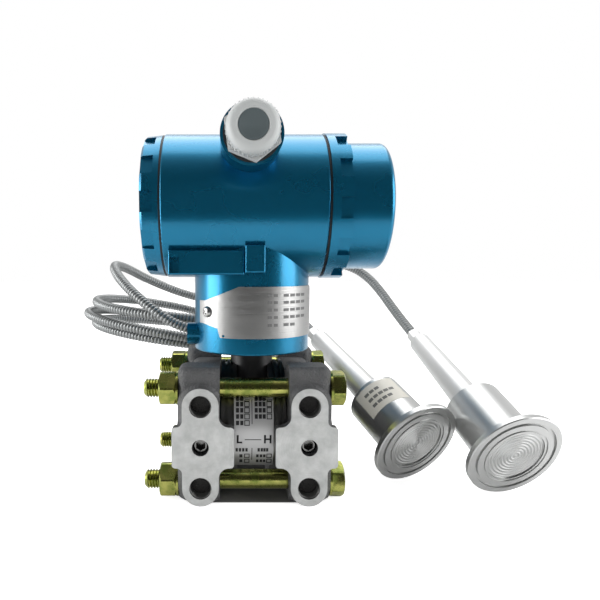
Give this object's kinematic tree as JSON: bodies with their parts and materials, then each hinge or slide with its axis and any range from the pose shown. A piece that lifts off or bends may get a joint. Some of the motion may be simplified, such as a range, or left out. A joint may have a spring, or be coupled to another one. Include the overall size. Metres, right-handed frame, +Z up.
{
  "type": "differential pressure transmitter with remote diaphragm seals",
  "caption": "Differential pressure transmitter with a swivelling electronics housing, a coplanar-bolted sensor cell and remote diaphragm seals on armoured capillaries.",
  "frame": {"origin": "centre of the four manifold bolt holes, on the face of the two front process pads", "axes": "+X from the low side flange to the high side flange, +Y from the front pads to the back, +Z up"},
  "size_m": [0.2828, 0.2377, 0.1951],
  "materials": {
    "housing_paint": "gloss enamel",
    "cast_stainless": "blasted casting with milled pad faces",
    "turned_stainless": "fine turned",
    "passivated_zinc": "yellow passivated zinc plate",
    "black_coating": "satin black",
    "black_rubber": "matt",
    "grey_nylon": "fine moulded",
    "slate_rubber": "matt",
    "plate_steel": "brushed",
    "silver_label": "satin printed film",
    "beige_sticker": "printed film",
    "armour_steel": "spiral strip armour",
    "board_laminate": "solder mask",
    "black_moulding": "moulded",
    "clear_glass": "polished",
    "display_grey": "polarised film"
  },
  "bodies": {
    "sensor_module": {"low_side_flange": "cast_stainless", "high_side_flange": "cast_stainless", "port_plugs": "turned_stainless", "sensor_cell": "turned_stainless", "low_capillary_adapter": "turned_stainless", "high_capillary_adapter": "turned_stainless", "isolating_diaphragms": "turned_stainless", "low_seal_body": "turned_stainless", "low_seal_diaphragm": "turned_stainless", "low_seal_stem": "turned_stainless", "low_seal_collar": "turned_stainless", "high_seal_body": "turned_stainless", "high_seal_diaphragm": "turned_stainless", "high_seal_stem": "turned_stainless", "high_seal_collar": "turned_stainless", "flange_bolts": "passivated_zinc", "flange_nuts": "passivated_zinc", "flange_washers": "passivated_zinc", "sensor_neck": "black_coating", "cell_gaskets": "black_rubber", "cell_label": "silver_label", "low_seal_label": "beige_sticker", "low_capillary_lead": "armour_steel", "low_capillary_coil": "armour_steel", "low_capillary_tail": "armour_steel", "high_capillary": "armour_steel"},
    "housing": {"housing_casting": "housing_paint", "neck_lock_screw": "turned_stainless", "nameplate": "plate_steel", "nameplate_screws": "turned_stainless", "conduit_plug": "housing_paint", "gland_washer": "black_rubber", "gland_body": "grey_nylon", "terminal_block": "black_moulding", "terminal_screws": "turned_stainless", "wire_feedthrough": "black_moulding", "circuit_boards": "board_laminate", "board_spacers": "turned_stainless", "board_chips": "black_moulding", "display_module": "black_moulding", "display_glass": "display_grey"},
    "terminal_cover_seal": {"terminal_cover_o_ring": "black_rubber"},
    "terminal_cover_body": {"terminal_cover": "housing_paint"},
    "display_cover_seal": {"display_cover_o_ring": "black_rubber"},
    "display_cover_body": {"display_cover": "housing_paint", "window_gasket": "black_rubber", "window_glass": "clear_glass", "window_ring": "turned_stainless"},
    "gland_compression": {"gland_seal": "slate_rubber"},
    "gland_cap": {"gland_nut": "grey_nylon"}
  },
  "joints": [
    {"name": "housing_swivel", "type": "hinge", "parent": "sensor_module", "child": "housing", "pos_m": [0, 0.0455, 0.0435], "axis": [0, 0, 1], "range_deg": [-90, 90]},
    {"name": "terminal_cover_travel", "type": "slide", "parent": "housing", "child": "terminal_cover_seal", "axis": [-1, 0, 0], "range_m": [0, 0.01005]},
    {"name": "terminal_cover_turn", "type": "hinge", "parent": "terminal_cover_seal", "child": "terminal_cover_body", "pos_m": [-0.0469, 0.0455, 0.12235], "axis": [-1, 0, 0], "range_deg": [0, 1800]},
    {"name": "display_cover_travel", "type": "slide", "parent": "housing", "child": "display_cover_seal", "axis": [1, 0, 0], "range_m": [0, 0.01005]},
    {"name": "display_cover_turn", "type": "hinge", "parent": "display_cover_seal", "child": "display_cover_body", "pos_m": [0.0372, 0.0455, 0.12235], "axis": [1, 0, 0], "range_deg": [0, 1800]},
    {"name": "gland_nut_travel", "type": "slide", "parent": "housing", "child": "gland_compression", "axis": [0, -1, 0], "range_m": [0, 0.00455]},
    {"name": "gland_nut_turn", "type": "hinge", "parent": "gland_compression", "child": "gland_cap", "pos_m": [-0.0023, -0.0095, 0.15055], "axis": [0, -1, 0], "range_deg": [0, 1080]}
  ],
  "couplings": [
    {"joint": "terminal_cover_travel", "follows": "terminal_cover_turn", "m_per_rad": 0.00031831},
    {"joint": "display_cover_travel", "follows": "display_cover_turn", "m_per_rad": 0.00031831},
    {"joint": "gland_nut_travel", "follows": "gland_nut_turn", "m_per_rad": 0.00023873}
  ]
}
